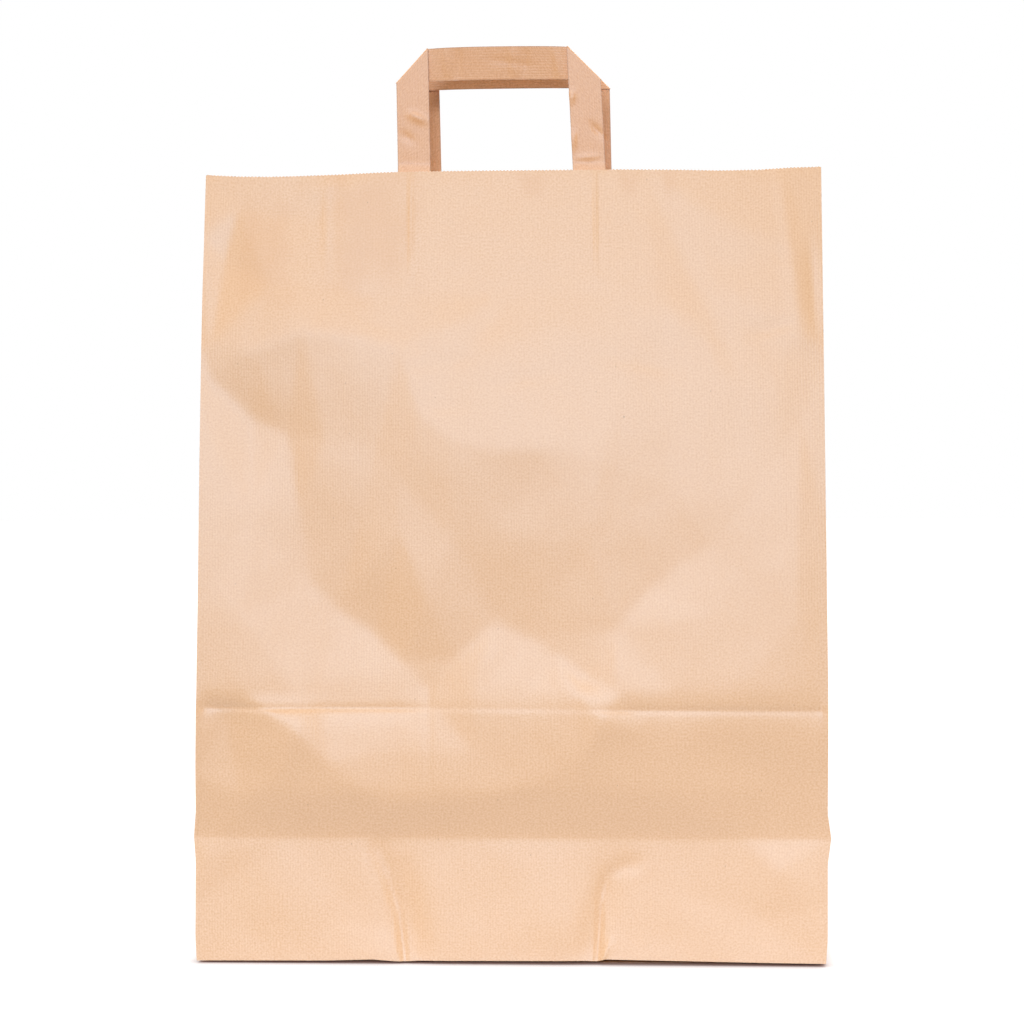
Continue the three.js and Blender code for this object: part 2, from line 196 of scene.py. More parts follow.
# Where the panels buckled when the bag was opened: creases and corners as (x, z, out) seen from outside.
FRONT_VALLEY = [
    (-172, 328, -1), (-146, 304, -5), (-126, 296, -5.5), (-119, 250, -6.5), (-113, 212, -8), (-98, 198, -9),
    (-76, 184, -9.5), (-60, 168, -8.5), (-46, 153, -7.9), (-30, 170, -7.3), (-8, 190, -6.5), (10, 182, -6.2),
    (24, 172, -5.2), (41, 159, -3.4), (60, 187, -3.3), (80, 210, -3.8), (94, 221, -3), (112, 232, -1.6),
    (135, 262, -1), (162, 300, -0.5),
]
FRONT_NET = [
    # beside the glued patch
    (-163, 396, -2.2), (-156, 424, -0.6), (-136, 380, 0.2), (-112, 418, -0.8), (-96, 378, -0.2),
    (-95, 436, 0.4), (152, 438, 0.2), (160, 398, 0.6), (162, 350, 0.7), (169, 385, 0), (120, 415, 0.3),
    (100, 385, -0.9),
    # ridge above the valley
    (-170, 346, 0.2), (-146, 342, 0.4), (-118, 352, 1.2), (-90, 350, 1.4), (-62, 344, 1.2), (-50, 305, 0.2),
    (-34, 294, 0.6), (-6, 285, 1.1), (22, 287, 0.8), (50, 280, 0.6), (90, 300, -0.8), (130, 320, -1),
    (150, 335, -0.2),
    # small facets inside the valley
    (-104, 292, -3.8), (-76, 286, -3.6), (-62, 268, -3.2), (-100, 250, -6.2), (-84, 247, -6), (-62, 240, -4),
    (-46, 200, -4.2), (-34, 240, -2.6), (-6, 238, -2.3), (22, 235, -2), (45, 232, -1.9), (62, 248, -1.9),
    (90, 265, -1.5), (118, 268, -1.3),
    # below the valley
    (-146, 250, -3.6), (-150, 195, -2), (-150, 150, -1.2), (-118, 150, -2.8), (-104, 150, -4.8),
    (-90, 150, -6), (-72, 150, -7), (-46, 147, -7), (-20, 150, -4), (10, 150, -3), (36, 151, -0.8),
    (60, 150, 0), (90, 150, -0.4), (120, 150, 0.3), (150, 150, 0.4), (158, 190, 0.8), (160, 250, 0.5),
    (110, 195, -0.8),
    # between the two folds that the turned-up base left
    (-154, 112, -1.5), (-158, 134, -3.2), (-150, 90, 0.5), (-118, 129, 1.6), (-130, 104, 0.9),
    (-118, 90, 0.8), (-100, 112, 0.9), (-85, 99, 1.1), (-69, 90, 1.1), (-62, 118, -2.6), (-45, 90, 1.1),
    (-20, 119, -1.7), (-15, 93, 1.1), (10, 126, -1.3), (15, 101, 1), (30, 108, 1), (42, 116, 1.6),
    (52, 136, 2.2), (78, 128, -0.4), (100, 128, -0.6), (82, 96, 0.2), (130, 110, -1.2), (155, 100, -1.1),
    # along the base
    (-168, 58, 0.8), (-168, 38, -0.4), (-90, 35, -0.5), (0, 35, -0.4), (90, 40, -0.3), (150, 52, 1.2),
    (135, 28, -1.2), (165, 30, 0),
]
BACK_VALLEY = [
    (-150, 262, -0.6), (-92, 226, -5), (-48, 188, -6.5), (36, 201, -6), (98, 250, -4.5), (148, 284, -0.6),
]
BACK_NET = [
    (-70, 300, 1), (0, 305, 1.5), (70, 320, 0.5), (-60, 125, -1), (10, 130, -0.5), (90, 140, 1),
    (-120, 140, 0.5), (-60, 60, -0.8), (60, 50, 1), (0, 20, 0.3), (-20, 245, -4), (60, 270, -2),
    (-115, 335, 1.4), (-20, 345, -0.8), (60, 350, 1.3), (125, 335, -0.9), (-132, 200, -1.8), (132, 190, 1.5),
    (-92, 165, -3), (100, 175, -1.6), (-30, 90, 1.2), (42, 95, -1.2), (122, 90, 1.2), (-130, 80, -0.6),
    (20, 160, -2.8), (-8, 205, -6.4),
]

# Narrow marks on the front: (x0, z0, x1, z1, half width, height)
FRONT_MARKS = [
    # edges of the folded straps and their glue, pressed through the panel
    (47.6, 446, 48.0, 384, 1.0, 0.42),
    (-57.0, 446, -56.0, 384, 1.6, 0.45),
    (37.0, 379.5, 58.0, 379.5, 1.2, 0.3),
    (-67.0, 369.0, -63.0, 368.5, 0.9, 0.2),
    (-18.5, 434.0, -17.0, 414.0, 1.2, -0.15),
    # inner edge of the gusset that lay under the panel
    (-105.0, 440.0, -104.0, 385.0, 1.8, 0.35),
    # ridge down from the rim at the right, and the dents beside it
    (152.0, 441.0, 161.0, 357.0, 4.0, 0.3),
    (160.0, 356.0, 134.0, 351.0, 2.6, -0.5),
    (168.0, 402.0, 171.0, 350.0, 3.0, -0.5),
    # slight wrinkles above the valley
    (-45.0, 309.0, -23.5, 310.0, 1.6, -0.3),
    (-62.0, 331.0, -20.0, 338.0, 2.4, -0.3),
    (-10.0, 322.0, 30.0, 330.0, 2.6, -0.3),
    (48.0, 338.0, 96.0, 330.0, 2.6, -0.3),
    # crease down from the tip of the valley
    (-45.6, 156.0, -44.5, 92.0, 2.0, -0.3),
    # the fold above the base
    (-174.0, 70.6, 174.0, 70.6, 1.1, 0.25),
    # left dent that runs down to the base edge
    (-76.5, 69.0, -68.0, 47.0, 5.0, -1.1),
    (-68.0, 47.0, -62.0, 28.0, 3.0, -0.9),
    (-62.0, 28.0, -58.0, -4.0, 2.2, -1.0),
    (-66.0, 62.0, -52.0, -4.0, 10.0, -2.0),
    # right dent
    (72.0, 57.0, 54.0, 50.0, 3.6, -1.0),
    (54.0, 50.0, 49.9, 36.0, 2.8, -0.9),
    (49.9, 36.0, 48.2, -4.0, 2.0, -1.0),
    (58.0, 56.0, 41.0, -4.0, 9.0, -1.7),
    (57.0, 14.0, 50.0, -2.0, 1.1, 0.8),
]

# Where paste has soaked through, on the front and along the lap at the back:
# (place across the sheet, height, half width, half height, strength)
PASTE_MARKS = [
    (96.5, 411, 21, 30, 0.4), (37, 401, 13, 26, 0.3), (187, 435, 6, 7, 0.3), (242, 435, 5, 7, 0.3),
    (265, 435, 4, 7, 0.3), (530, 222, 11, 240, 0.25),
]


def smooth(edge0, edge1, value):
    """0 up to the first edge and 1 from the second, with a soft start and end."""
    share = np.clip((value - edge0) / (edge1 - edge0), 0, 1)
    return share * share * (3 - 2 * share)


def lean(z):
    """How far a panel has come in from the base, first along a curve and then straight to the mouth."""
    curved = LEAN_RATE * z * z
    straight = LEAN_RATE * FLAT_FROM * (2 * z - FLAT_FROM)
    return np.where(z < FLAT_FROM, curved, straight)


def fold_depth(face, z):
    """Distance of a panel's side folds from the middle plane of the bag."""
    dent = face["dent"] * np.clip(1 - np.abs(z - HALF_DEPTH) / HALF_DEPTH, 0, None)
    return HALF_DEPTH - lean(z) - dent


def fold_x(face, side, z):
    """Distance of a panel's left (0) or right (1) side fold from its middle."""
    ear = face["ears"][side] * np.clip(1 - np.abs(z - HALF_DEPTH) / EAR_REACH, 0, None)
    return HALF_WIDTH + ear + np.interp(z, SPREAD_Z, face["spread"][side])


def blurred(grid, sigma):
    """The grid smoothed by a bell curve of sigma cells."""
    reach = int(3 * sigma)
    taps = np.exp(-0.5 * (np.arange(-reach, reach + 1) / sigma) ** 2)
    taps /= taps.sum()
    for axis in (0, 1):
        pad = [(reach, reach) if a == axis else (0, 0) for a in (0, 1)]
        padded = np.pad(grid, pad, mode="edge")
        size = grid.shape[axis]
        grid = sum(t * padded.take(range(k, k + size), axis) for k, t in enumerate(taps))
    return grid


def relief(valley, net):
    """Flat facets between the points of a net, with softened ridges, as a grid over a whole panel."""
    columns = np.linspace(-HALF_WIDTH, HALF_WIDTH, STILL_COLUMNS)
    still = [(x, z, 0) for x in columns for z in (0, HALF_DEPTH, RIM)]
    still += [(x, FLAT_FROM, 0) for x in STILL_PATCH_X]
    still += [(side * HALF_WIDTH, z, 0) for side in (-1, 1) for z in STILL_SIDE_Z]
    points = valley + net + still
    flat = [Vector((x, z)) for x, z, _ in points]
    chain = [(i, i + 1) for i in range(len(valley) - 1)]
    made = delaunay_2d_cdt(flat, chain, [], 0, 0.01)
    places, triangles, sources = made[0], made[2], made[3]
    peaks = [(p.x, p.y, points[s[0]][2]) for p, s in zip(places, sources)]
    tree = BVHTree.FromPolygons(peaks, triangles)
    xs = np.arange(-HALF_WIDTH, HALF_WIDTH + PAST_END, RELIEF_STEP)
    zs = np.arange(0, RIM + RELIEF_STEP, RELIEF_STEP)
    grid = np.zeros((len(zs), len(xs)))
    for j, z in enumerate(zs):
        for i, x in enumerate(xs):
            hit = tree.ray_cast((x, z, ABOVE_RELIEF), (0, 0, -1))[0]
            grid[j, i] = hit.z if hit else 0
    return sum(blurred(grid, blur / RELIEF_STEP) for blur in RELIEF_BLURS) / len(RELIEF_BLURS)


def on_grid(grid, x, z):
    """The height of a relief at any place on the panel."""
    column = np.clip((x + HALF_WIDTH) / RELIEF_STEP, 0, grid.shape[1] - 1.001)
    row = np.clip(z / RELIEF_STEP, 0, grid.shape[0] - 1.001)
    i, j = column.astype(int), row.astype(int)
    u, v = column - i, row - j
    lower = grid[j, i] * (1 - u) + grid[j, i + 1] * u
    upper = grid[j + 1, i] * (1 - u) + grid[j + 1, i + 1] * u
    return lower * (1 - v) + upper * v


def marked(marks, x, z):
    """The summed height of narrow ridges and grooves, which taper to their ends."""
    total = np.zeros(np.broadcast(x, z).shape)
    for x0, z0, x1, z1, half, height in marks:
        run = np.array((x1 - x0, z1 - z0))
        share = np.clip(((x - x0) * run[0] + (z - z0) * run[1]) / (run @ run), 0, 1)
        apart = np.hypot(x - x0 - share * run[0], z - z0 - share * run[1])
        taper = np.sqrt(np.sin(math.pi * np.clip(share, MARK_END, 1 - MARK_END)))
        total += height * np.exp(-((apart / half) ** 2)) * taper
    return total


def ripple(x, z):
    """The height of the slow waves."""
    return sum(height * np.sin(x / run_x + z / run_z + start) for height, run_x, run_z, start in SHEET_WAVES)


def pressed_fold(x, z):
    """The sharp fold above the base, pushed in between its ends."""
    reach = np.interp(z, [0, HALF_DEPTH, HALF_DEPTH + FOLD_REACH], [0, 1, 0])
    return -FOLD_PRESS * reach * (1 - (x / HALF_WIDTH) ** 4)


def base_imprint(x, z):
    """The groove across the front, which is faint in the middle."""
    strength = IMPRINT_FAINT + (1 - IMPRINT_FAINT) * (smooth(*IMPRINT_LEFT, x) + smooth(*IMPRINT_RIGHT, x))
    above = np.abs(z - (IMPRINT_HEIGHT - IMPRINT_FALL * x))
    return -strength * sum(depth * np.exp(-((above / half) ** power)) for depth, half, power in IMPRINT_PARTS)


FRONT["relief"] = relief(FRONT_VALLEY, FRONT_NET)
BACK["relief"] = relief(BACK_VALLEY, BACK_NET)


def panel_depth(face, x, z):
    """Distance of a panel from the middle plane of the bag."""
    past = np.clip(np.abs(x) - FLAT_HALF, 0, None) / (HALF_WIDTH - FLAT_HALF)
    bow = MOUTH_BOW * z / RIM * (1 - past**2)
    out = on_grid(face["relief"], x, z)
    free = smooth(0, SIDE_HOLD, HALF_WIDTH - np.abs(x)) * smooth(0, BASE_HOLD, z)
    free = free * smooth(FLAT_FROM + PATCH_HOLD_HIGH, FLAT_FROM - PATCH_HOLD_LOW, z)
    out = out + ripple(x, z) * free
    if face is FRONT:
        pressed = marked(FRONT_MARKS, x, z) + base_imprint(x, z)
        out = out + pressed * smooth(0, MARK_HOLD, HALF_WIDTH - np.abs(x))
        out = out + pressed_fold(x, z)
    else:
        out = out + np.interp(x, SEAM_EDGES, [0, SEAM_RISE, SEAM_RISE, 0])
    return fold_depth(face, z) + bow + out


def gusset_inset(z):
    """How far the middle fold of a gusset has come in where the panels have closed."""
    opening = (fold_depth(FRONT, z) + fold_depth(BACK, z)) / 2
    return np.sqrt(HALF_DEPTH**2 - opening**2)


def gusset(face, side, shares, z):
    """A gusset from a fold (share 0) to its middle (share 1), on the right of the front half."""
    z, share = z[:, None], shares[None, :]
    fold = np.stack(np.broadcast_arrays(fold_x(face, side, z), -fold_depth(face, z), z), -1)
    apex_inset = float(gusset_inset(np.float64(HALF_DEPTH)))
    apex_height = math.sqrt(HALF_DEPTH**2 - apex_inset**2)
    up = np.clip(z / HALF_DEPTH, 1e-6, 1)
    at = np.maximum(share, up)
    triangle = np.stack(
        np.broadcast_arrays(HALF_WIDTH - apex_inset * up, -HALF_DEPTH * (1 - at), apex_height * up), -1
    )
    middle = np.stack(
        np.broadcast_arrays(HALF_WIDTH - gusset_inset(z), 0 * share, z - HALF_DEPTH + apex_height), -1
    )
    low = fold + (triangle - fold) * np.minimum(share / up, 1)[..., None]
    high = fold + (middle - fold) * share[..., None]
    place = np.where((z < HALF_DEPTH)[..., None], low, high)
    # The two halves of a gusset wave differently. They hold still at their folds.
    wave = ripple(HALF_DEPTH * share + GUSSET_WAVE_APART * face["dent"], z * GUSSET_WAVE_RATE)
    wave = wave * np.sin(math.pi * share) * smooth(HALF_DEPTH, GUSSET_WAVE_FULL, z)
    aside = GUSSET_WAVE_ALONG * wave * smooth(RIM, RIM - GUSSET_RIM_HOLD, z)
    return place + np.stack([GUSSET_WAVE_OUT * wave, aside, 0 * wave], -1)


def half_ring(face, other, columns, z):
    """Rows of points round half of the bag: a panel, then the gusset at its right."""
    x = columns[None, :]
    spread = np.where(x < 0, fold_x(face, 0, z[:, None]), fold_x(face, 1, z[:, None])) / HALF_WIDTH
    panel = np.stack(np.broadcast_arrays(x * spread, -panel_depth(face, x, z[:, None]), z[:, None]), -1)
    shares = np.linspace(0, 1, GUSSET_STEPS + 1)[1:]
    inwards = gusset(face, 1, shares, z)
    outwards = gusset(other, 0, shares[-2::-1], z) * np.array((1, -1, 1))
    return np.concatenate([panel, inwards, outwards], axis=1)


def inside_of(ring):
    """The rows moved inwards by one ply, with mitred folds."""

    def normal(a, b):
        n = np.stack([a[..., 1] - b[..., 1], b[..., 0] - a[..., 0]], -1)
        return n / np.linalg.norm(n, axis=-1, keepdims=True)

    before, after = np.roll(ring, 1, 1), np.roll(ring, -1, 1)
    n0, n1 = normal(before, ring), normal(ring, after)
    inner = ring.copy()
    inner[..., :2] += PAPER * (n0 + n1) / (1 + (n0 * n1).sum(-1, keepdims=True))
    return inner


def settled(points):
    """Raises the front base edge off the floor, as the turned-up base left it, and lets the front rim sag."""
    x, y, z = points[..., 0], points[..., 1], points[..., 2]
    lift = np.interp(x, FRONT_LIFT_X, FRONT_LIFT_Z) * smooth(*LIFT_BACK, y) * np.exp(-z / LIFT_FADE)
    sag = np.interp(x, RIM_X, RIM_Z) * smooth(RIM - SAG_FADE, RIM, z) * smooth(*SAG_BACK, y)
    raised = points.copy()
    raised[..., 2] += lift + sag
    return raised


# What a vertex that isn't on the rim carries in place of its run along the rim
OFF_RIM = -1.0


class Sheet:
    """Vertices with their place on the unfolded sheet, and faces between runs of them."""

    def __init__(self):
        self.points, self.places, self.rims, self.faces = [], [], [], []
        self.size = 0

    def add(self, points, places, rims=None):
        """Adds vertices and returns their numbers. rims is how far along the rim they are, if on it."""
        points = np.asarray(points, float)
        count = points.size // 3
        self.points.append(points.reshape(-1, 3))
        self.places.append(np.broadcast_to(places, points.shape[:-1] + (2,)).reshape(-1, 2))
        self.rims.append(np.full(count, OFF_RIM) if rims is None else np.asarray(rims, float))
        numbers = np.arange(self.size, self.size + count).reshape(points.shape[:-1])
        self.size += count
        return numbers

    def strip(self, lower, upper, turned=False):
        """Fills between two runs, each of two or more vertices."""
        n, m = len(lower) - 1, len(upper) - 1
        made = []
        if n == m:
            made = [(lower[i], lower[i + 1], upper[i + 1], upper[i]) for i in range(n)]
        else:
            i = j = 0
            while i < n or j < m:
                if j == m or (i < n and (i + 0.5) * m <= (j + 0.5) * n):
                    made.append((lower[i], lower[i + 1], upper[j]))
                    i += 1
                else:
                    made.append((lower[i], upper[j + 1], upper[j]))
                    j += 1
        self.faces += [tuple(int(v) for v in (face[::-1] if turned else face)) for face in made]

    def plate(self, outline, low, high):
        """A thin flat flap of paper with straight edges."""
        ring = np.array(outline, float)
        under, over = (self.add(np.c_[ring, np.full(len(ring), z)], ring) for z in (low, high))
        self.faces += [tuple(int(v) for v in under[::-1]), tuple(int(v) for v in over)]
        self.strip([*under, under[0]], [*over, over[0]])

    def mesh(self, name, lap=None):
        """The mesh, with its place on the sheet as UV in metres. lap is the length of a closed sheet."""
        made = bpy.data.meshes.new(name)
        made.from_pydata((np.concatenate(self.points) * MM).tolist(), [], self.faces)
        made.attributes.new("rim_run", "FLOAT", "POINT").data.foreach_set("value", np.concatenate(self.rims))
        loops = np.zeros(len(made.loops), np.int32)
        made.loops.foreach_get("vertex_index", loops)
        uv = np.concatenate(self.places)[loops]
        if lap:
            # A face across the line where the sheet closes runs on past its end.
            sizes = np.array([len(face) for face in self.faces])
            starts = np.r_[0, np.cumsum(sizes)[:-1]]
            least, most = (f.reduceat(uv[:, 0], starts) for f in (np.minimum, np.maximum))
            crosses = np.repeat(most - least > lap / 2, sizes)
            uv[crosses & (uv[:, 0] < lap / 2), 0] += lap
        made.uv_layers.new(name="Sheet").data.foreach_set("uv", (uv * MM).ravel())
        return made


def spaced(start, end, step, fixed, clear):
    """Even places from start to end, with the fixed ones put in and those too near to one left out."""
    even = [at for at in np.arange(start, end, step) if np.abs(np.array(fixed) - at).min() > clear]
    return np.array(sorted([*even, *fixed]))


def bag_mesh():
    """The bag's sheet with its outer and inner face, from the floor to the rim, and two flaps under it."""
    heights = spaced(0, ROWS_END, ROW_STEP, [*FOLD_ROWS, TOP_ROW], ROW_CLEAR)
    dented = np.concatenate([np.arange(start, end, DENT_STEP) for start, end in DENT_RUNS])
    fronts = spaced(-HALF_WIDTH, HALF_WIDTH + PAST_END, FRONT_STEP, dented, DENT_STEP)
    backs = spaced(-HALF_WIDTH, HALF_WIDTH + PAST_END, BACK_STEP, SEAM_EDGES, SEAM_CLEAR)
    turned = np.array((-1, -1, 1))

    def rings(z):
        front = half_ring(FRONT, BACK, fronts, z)
        back = half_ring(BACK, FRONT, backs, z) * turned
        return np.concatenate([front, back], axis=1)

    gusset_run = np.linspace(0, 2 * HALF_DEPTH, 2 * GUSSET_STEPS + 1)[1:-1]
    half_lap = 2 * HALF_WIDTH + 2 * HALF_DEPTH
    along = np.concatenate([
        fronts + HALF_WIDTH, 2 * HALF_WIDTH + gusset_run,
        half_lap + HALF_WIDTH + backs, half_lap + 2 * HALF_WIDTH + gusset_run,
    ])
    lap = 2 * half_lap
    wall = rings(heights)
    inner_wall = inside_of(wall)
    inner_wall[0, :, 2] = 3 * PAPER
    places = np.stack(np.broadcast_arrays(along[None, :], heights[:, None]), -1)
    sheet = Sheet()
    outer = sheet.add(settled(wall), places)
    inner = sheet.add(settled(inner_wall), places)
    for skin, is_inside in ((outer, False), (inner, True)):
        for lower, upper in zip(skin, skin[1:]):
            sheet.strip([*lower, lower[0]], [*upper, upper[0]], is_inside)

    # The rim is divided twice for each tooth. The teeth themselves are cut later.
    top = rings(np.array([RIM]))
    spacing = np.diff(np.r_[along, lap])
    teeth = np.maximum(1, np.round(spacing / TOOTH_PITCH)).astype(int)
    share = np.concatenate([k + np.arange(2 * t) / (2 * t) for k, t in enumerate(teeth)])
    tooth = np.concatenate([np.arange(2 * t) / 2 for t in teeth])
    first = np.r_[0, np.cumsum(teeth)[:-1]]
    run = (np.repeat(first, 2 * teeth) + tooth) * TOOTH_PITCH * MM
    k = share.astype(int)
    part = (share - k)[:, None]
    rim_along = np.interp(share, np.arange(len(along) + 1), np.r_[along, lap])
    rims = []
    for ring in (settled(top)[0], settled(inside_of(top))[0]):
        between = ring[k] * (1 - part) + np.roll(ring, -1, 0)[k] * part
        rims.append(sheet.add(between, np.c_[rim_along, between[:, 2]], run))
    starts = np.r_[np.cumsum(2 * teeth) - 2 * teeth, 2 * teeth.sum()]
    for skin, rim, is_inside in ((outer[-1], rims[0], False), (inner[-1], rims[1], True)):
        closed, closed_rim = [*skin, skin[0]], [*rim, rim[0]]
        for i in range(len(skin)):
            sheet.strip(closed[i:i + 2], closed_rim[starts[i]:starts[i + 1] + 1], is_inside)
    sheet.strip([*rims[0], rims[0][0]], [*rims[1], rims[1][0]])

    # Floor of the bag: the underside and the inside
    right = len(fronts) - 1
    far = right + 2 * GUSSET_STEPS
    left = far + len(backs) - 1
    for skin, height, is_under in ((outer[0], 2 * PAPER, True), (inner[0], 3 * PAPER, False)):
        rows = [skin[:right + 1]]
        for i in range(1, 2 * GUSSET_STEPS):
            y = HALF_DEPTH * (i / GUSSET_STEPS - 1)
            middle = np.stack(np.broadcast_arrays(fronts[1:-1], y, height), -1)
            inside = sheet.add(settled(middle), middle[:, :2])
            rows.append([skin[(left + 2 * GUSSET_STEPS - i) % len(skin)], *inside, skin[right + i]])
        rows.append(skin[far:left + 1][::-1])
        for near, next_row in zip(rows, rows[1:]):
            sheet.strip(near, next_row, is_under)

    # The two long base flaps, glued one over the other
    wide, deep = HALF_WIDTH - FLAP_INSET, HALF_DEPTH - FLAP_INSET
    tip = HALF_WIDTH - HALF_DEPTH - FLAP_LAP / 2
    front_flap = [(-wide, -deep), (wide, -deep), (tip, FLAP_LAP / 2), (-tip, FLAP_LAP / 2)]
    sheet.plate(front_flap, (1 + FLAP_GAP) * PAPER, (2 - FLAP_GAP) * PAPER)
    sheet.plate([(-x, -y) for x, y in front_flap], 0, (1 - FLAP_GAP) * PAPER)
    return sheet.mesh("bag_body", lap)


def strap_mesh(name, handle):
    """A flat strap with two legs, folded at 45 degrees into a bar that lies behind them."""
    low, bend, top = RIM - LEG_REACH, RIM + BEND_RISE, RIM + HANDLE_RISE
    wall_low, wall_top = (float(panel_depth(BACK, np.float64(0), np.float64(z))) for z in (FLAT_FROM, RIM))
    slope = (wall_low - wall_top) / (RIM - FLAT_FROM)
    layer = STRAP_PLIES + STRAP_GAP

    def leg_face(x, z):
        """Middle of the strap on its way up the wall and above the rim."""
        on_wall = -wall_top + slope * (np.minimum(z, bend) - RIM) + PAPER + GLUE + STRAP_PLIES / 2
        rise = np.clip(z - bend, 0, None) / (top - bend)
        free = smooth(bend + LEG_HOLD[0], bend + LEG_HOLD[1], z)
        return on_wall + handle["into"] * rise**2 - free * marked(handle["wrinkles"], x, z)

    def bar_face(x, z):
        """Middle of the bar, which hangs a little slack between the two folds."""
        middle = smooth(HANDLE_HALF, HANDLE_HALF - BAR_HOLD, np.abs(x))
        slack = BAR_SLACK * (1 + np.cos(x / BAR_WAVE + BAR_START)) + BAR_TILT * (top - z)
        return leg_face(0, z) + layer + middle * (slack - marked(handle["bar_wrinkles"], x, z))

    across = np.linspace(-STRAP / 2, STRAP / 2, STRAP_COLUMNS)
    diagonal = top - STRAP / 2 + across
    half_straight = HANDLE_HALF - STRAP / 2 - across
    leg, half_bar = top - low, HANDLE_HALF
    climb = [low + (diagonal - low) * t for t in np.linspace(0, 1, LEG_ROWS)]
    fold_turns = np.linspace(0, math.pi, TURN_STEPS + 1)[1:-1]
    rows, lengths = [], []

    def add(x, y, z, length):
        rows.append(np.stack(np.broadcast_arrays(x, y, z), -1))
        lengths.append(length)

    def fold(side, turn, length):
        """The round of a diagonal fold, from the leg (turn 0) to the bar (half a turn)."""
        out = layer / 2 * math.sin(turn) / math.sqrt(2)
        x, behind = side * half_straight, (1 - math.cos(turn)) / 2
        y = leg_face(x, diagonal) * (1 - behind) + bar_face(x, diagonal) * behind
        add(x + side * out, y, diagonal + out, length)

    for z in climb:
        add(-half_straight, leg_face(-half_straight, z), z, z.mean() - low)
    for turn in fold_turns:
        fold(-1, turn, leg)
    for t in np.linspace(0, 1, BAR_ROWS):
        x = half_straight * (2 * t - 1)
        add(x, bar_face(x, diagonal), diagonal, leg + 2 * t * half_bar)
    for turn in fold_turns[::-1]:
        fold(1, turn, leg + 2 * half_bar)
    for z in climb[::-1]:
        add(half_straight, leg_face(half_straight, z), z, 2 * leg + 2 * half_bar - z.mean() + low)
    middle = np.array(rows)

    # The strap as it was bent by hand: shifted, with legs out of true and a bar that arches
    x, rise = middle[..., 0].copy(), np.clip((middle[..., 2] - RIM) / HANDLE_RISE, 0, 1)
    left, right = handle["legs"]
    middle[..., 0] += handle["shift"] + rise * (left + (right - left) * smooth(-HANDLE_HALF, HANDLE_HALF, x))
    middle[..., 2] += rise * (handle["arch"] * (1 - (x / HANDLE_HALF) ** 2) - handle["drop"])
    middle[..., 2] -= rise**2 * np.where(x < 0, *handle["corners"]) * (x / HANDLE_HALF) ** 4
    along, over = np.gradient(middle, axis=0), np.gradient(middle, axis=1)
    normal = np.cross(over, along)
    normal /= np.linalg.norm(normal, axis=-1, keepdims=True)
    places = np.stack(np.broadcast_arrays(across[None, :], np.array(lengths)[:, None]), -1)
    sheet = Sheet()
    near = sheet.add(middle + normal * STRAP_PLIES / 2, places)
    back = sheet.add(middle - normal * STRAP_PLIES / 2, places)
    for skin, is_back in ((near, False), (back, True)):
        for lower, upper in zip(skin, skin[1:]):
            sheet.strip(lower, upper, is_back)
    sheet.strip(back[:, 0][::-1], near[:, 0][::-1])
    sheet.strip(near[:, -1][::-1], back[:, -1][::-1])
    sheet.strip(back[0], near[0])
    sheet.strip(near[-1], back[-1])
    return sheet.mesh(name)


def linear(code):
    """A colour written as an sRGB hex code, in linear light."""
    parts = [int(code[i:i + 2], 16) / 255 for i in (1, 3, 5)]
    return (*[c / 12.92 if c <= 0.04045 else ((c + 0.055) / 1.055) ** 2.4 for c in parts], 1.0)


def put(tree, kind, inputs=None, **settings):
    """Adds a node, sets it up and joins its inputs. Returns it."""
    made = tree.nodes.new(kind)
    for name, value in settings.items():
        setattr(made, name, value)
    for key, value in (inputs or {}).items():
        if isinstance(value, bpy.types.NodeSocket):
            tree.links.new(value, made.inputs[key])
        else:
            made.inputs[key].default_value = value
    return made


# The real ribs of such paper are about 0.8 mm apart, which is too fine for the picture, so they are drawn
# this far apart. They wander by up to RIB_SWAY of their wave, in radians.
RIB_PITCH = 1.5
RIB_SWAY = 9.6

# Patterns of the pulp: how wide and how long their spots are on the sheet, how often they break up into
# finer ones, and a number that sets each apart. Real fibres are about 0.04 mm wide, which is too fine
# for the picture, so they are drawn as small flocks. PULP_BREAK_UP is how strong the finer spots are.
PULP = {
    "sway": (9, 60, 1, 3), "streak": (1.6, 38, 2, 1), "fibre": (1.2, 1.1, 2, 5), "cloud": (16, 22, 3, 7),
    "crinkle": (20, 26, 2, 9), "pucker": (8, 10, 1, 13), "speck": (2.2, 2.8, 0, 11),
}
PULP_BREAK_UP = 0.55

# How far each pattern stands off the sheet
RIB_HEIGHT, FIBRE_HEIGHT, STREAK_HEIGHT, CRINKLE_HEIGHT, PUCKER_HEIGHT = 0.012, 0.022, 0.015, 0.22, 0.06

# How far streaks along the sheet and clouds of thicker pulp shift the tone
STREAK_TONE, CLOUD_TONE = 0.2, 0.2

# Pressed kraft has a tight, waxy face. Its shine is cool against the brown of the pulp. Cellulose has an
# IOR of about 1.5, which is raised here to match the sheen on the facets.
KRAFT_IOR = 1.64
KRAFT_SHINE = "#94d3ff"
ROUGH_LEAST, ROUGH_BY_FIBRE = 0.34, 0.12

# Paste fades out over this part of a mark's reach, which the clouds of pulp make ragged.
SOAKED_KRAFT = "#e4b07c"
SOAK_START, SOAK_END, SOAK_RAGGED = 1.5, 2.4, 2.0

# How wide and how dark the painted shade along the folded edges of a strip is
EDGE_WIDTH, EDGE_SHARE = 0.7, 0.45

# How strong a spot of its pattern must be to show as a speck, and how dark it gets
SPECK_FROM, SPECK_FULL, SPECK_SHARE = 0.88, 0.93, 0.5


